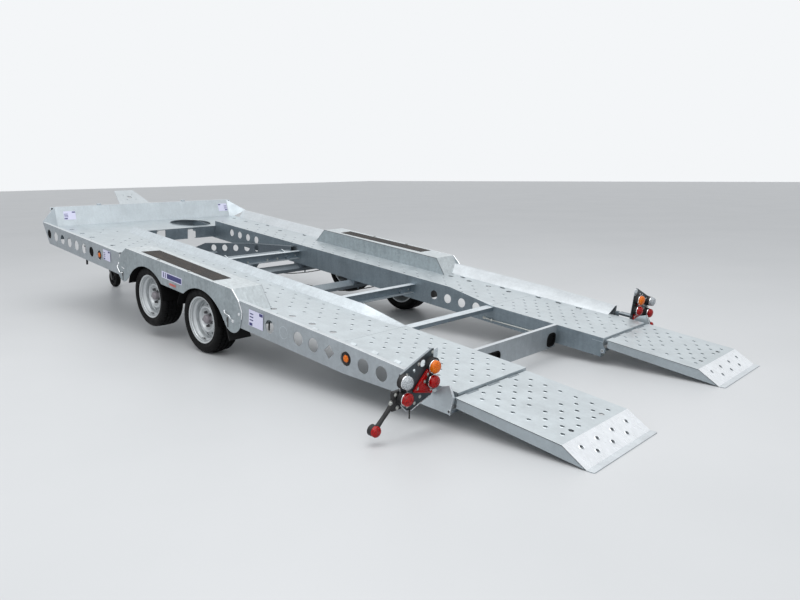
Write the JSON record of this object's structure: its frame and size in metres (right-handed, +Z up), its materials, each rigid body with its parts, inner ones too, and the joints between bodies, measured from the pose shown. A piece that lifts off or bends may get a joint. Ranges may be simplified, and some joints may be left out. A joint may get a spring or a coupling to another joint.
{
  "type": "car transporter trailer",
  "caption": "Tilt-bed car transporter trailer with twin runways, drive-over mudguards, headboard, folding loading ramps, light boards and jockey wheel.",
  "frame": {"origin": "centre of the overall plan, on the ground, as it stands with the bed tilted for loading", "axes": "+X towards the coupling, +Y to the trailer's left, +Z up; the bed is pitched 6.6 degrees nose up"},
  "size_m": [7.8124, 3.334, 1.1721],
  "materials": {
    "galvanised": "hot-dip galvanised, spangled",
    "deck_steel": "galvanised sheet, perforated and worn",
    "tyre_rubber": "road tyre",
    "black_rubber": "moulded rubber",
    "rim_steel": "silver paint",
    "dark_cast": "black paint",
    "chrome_rod": "ground and chromed",
    "lamp_lens": "clear and coloured lenses",
    "amber_lens": "amber lens"
  },
  "bodies": {
    "bed": {"rail_front_left": "galvanised", "rail_front_right": "galvanised", "rail_rear_left": "galvanised", "rail_rear_right": "galvanised", "inner_rail_left": "galvanised", "inner_rail_right": "galvanised", "runway_left": "deck_steel", "runway_right": "deck_steel", "tail_deck_left": "deck_steel", "tail_deck_right": "deck_steel", "mudguard_left": "galvanised", "mudguard_right": "galvanised", "ramp_hinges": "galvanised", "light_hinges": "galvanised", "tail_gussets": "galvanised", "tail_tubes": "galvanised", "mudflaps": "black_rubber", "side_markers": "amber_lens", "front_floor_left": "deck_steel", "front_floor_right": "deck_steel", "headboard": "galvanised", "nose_beam": "galvanised", "winch_mount": "galvanised", "crossmember_front": "galvanised", "crossmember_pivot": "galvanised", "crossmember_axle": "galvanised", "crossmember_tube": "galvanised", "crossmember_rear": "galvanised", "axle_front": "galvanised", "axle_rear": "galvanised", "brake_rod": "galvanised", "brake_cables": "black_rubber"},
    "drawbar": {"drawbar_leg_left": "galvanised", "drawbar_leg_right": "galvanised", "drawbar_cross": "galvanised", "coupling_head": "dark_cast", "brake_lever": "dark_cast", "jockey_tube": "galvanised"},
    "ram_body": {"ram_body": "dark_cast"},
    "ram_rod": {"ram_rod": "chrome_rod"},
    "jockey_stem": {"jockey_stem": "galvanised"},
    "jockey_fork": {"jockey_fork": "dark_cast"},
    "jockey_wheel": {"jockey_wheel": "black_rubber"},
    "ramp_left": {"ramp_left": "deck_steel"},
    "light_board_left": {"light_board_left": "galvanised", "lamp_set_left": "lamp_lens", "marker_arm_left": "black_rubber"},
    "wheel_front_left": {"tyre_front_left": "tyre_rubber", "rim_front_left": "rim_steel"},
    "wheel_rear_left": {"tyre_rear_left": "tyre_rubber", "rim_rear_left": "rim_steel"},
    "ramp_right": {"ramp_right": "deck_steel"},
    "light_board_right": {"light_board_right": "galvanised", "lamp_set_right": "lamp_lens", "marker_arm_right": "black_rubber"},
    "wheel_front_right": {"tyre_front_right": "tyre_rubber", "rim_front_right": "rim_steel"},
    "wheel_rear_right": {"tyre_rear_right": "tyre_rubber", "rim_rear_right": "rim_steel"}
  },
  "joints": [
    {"name": "drawbar_tilt", "type": "hinge", "parent": "bed", "child": "drawbar", "pos_m": [0.38878, 0, 0.56442], "axis": [0, -1, 0], "range_deg": [0, 8.1]},
    {"name": "ram_swing", "type": "hinge", "parent": "bed", "child": "ram_body", "pos_m": [0.45018, 0, 0.44267], "axis": [0, -1, 0], "range_deg": [-0.5, 8.91]},
    {"name": "ram_stroke", "type": "slide", "parent": "ram_body", "child": "ram_rod", "axis": [0.9959, 0, 0.0907], "range_m": [-0.001, 0.01938]},
    {"name": "jockey_slide", "type": "slide", "parent": "drawbar", "child": "jockey_stem", "axis": [0.0262, 0, 0.9997], "range_m": [0, 0.17]},
    {"name": "jockey_swivel", "type": "hinge", "parent": "jockey_stem", "child": "jockey_fork", "pos_m": [3.17121, 0.16831, 0.23885], "axis": [0.0262, 0, 0.9997], "continuous": true},
    {"name": "jockey_roll", "type": "hinge", "parent": "jockey_fork", "child": "jockey_wheel", "pos_m": [3.12569, 0.16831, 0.105], "axis": [0, 1, 0], "continuous": true},
    {"name": "wheel_front_left_spin", "type": "hinge", "parent": "bed", "child": "wheel_front_left", "pos_m": [0.20575, 1.1, 0.35398], "axis": [0, 1, 0], "continuous": true},
    {"name": "wheel_front_right_spin", "type": "hinge", "parent": "bed", "child": "wheel_front_right", "pos_m": [0.20575, -1.1, 0.35398], "axis": [0, 1, 0], "continuous": true},
    {"name": "wheel_rear_left_spin", "type": "hinge", "parent": "bed", "child": "wheel_rear_left", "pos_m": [-0.59789, 1.1, 0.261], "axis": [0, 1, 0], "continuous": true},
    {"name": "wheel_rear_right_spin", "type": "hinge", "parent": "bed", "child": "wheel_rear_right", "pos_m": [-0.59789, -1.1, 0.261], "axis": [0, 1, 0], "continuous": true},
    {"name": "ramp_left_fold", "type": "hinge", "parent": "bed", "child": "ramp_left", "pos_m": [-3.08964, 0.82, 0.17604], "axis": [0, 1, 0], "range_deg": [0, 92]},
    {"name": "ramp_right_fold", "type": "hinge", "parent": "bed", "child": "ramp_right", "pos_m": [-3.08964, -0.82, 0.17604], "axis": [0, 1, 0], "range_deg": [0, 92]},
    {"name": "light_board_left_fold", "type": "hinge", "parent": "bed", "child": "light_board_left", "pos_m": [-2.90931, 1.192, 0.22711], "axis": [0.9934, 0, 0.1149], "range_deg": [0, 90]},
    {"name": "light_board_right_fold", "type": "hinge", "parent": "bed", "child": "light_board_right", "pos_m": [-2.90931, -1.192, 0.22711], "axis": [-0.9934, 0, -0.1149], "range_deg": [0, 90]}
  ],
  "couplings": [
    {"joint": "ram_swing", "follows": "drawbar_tilt", "ratio": 1.0379},
    {"joint": "ram_stroke", "follows": "drawbar_tilt", "m_per_rad": 0.13004}
  ]
}
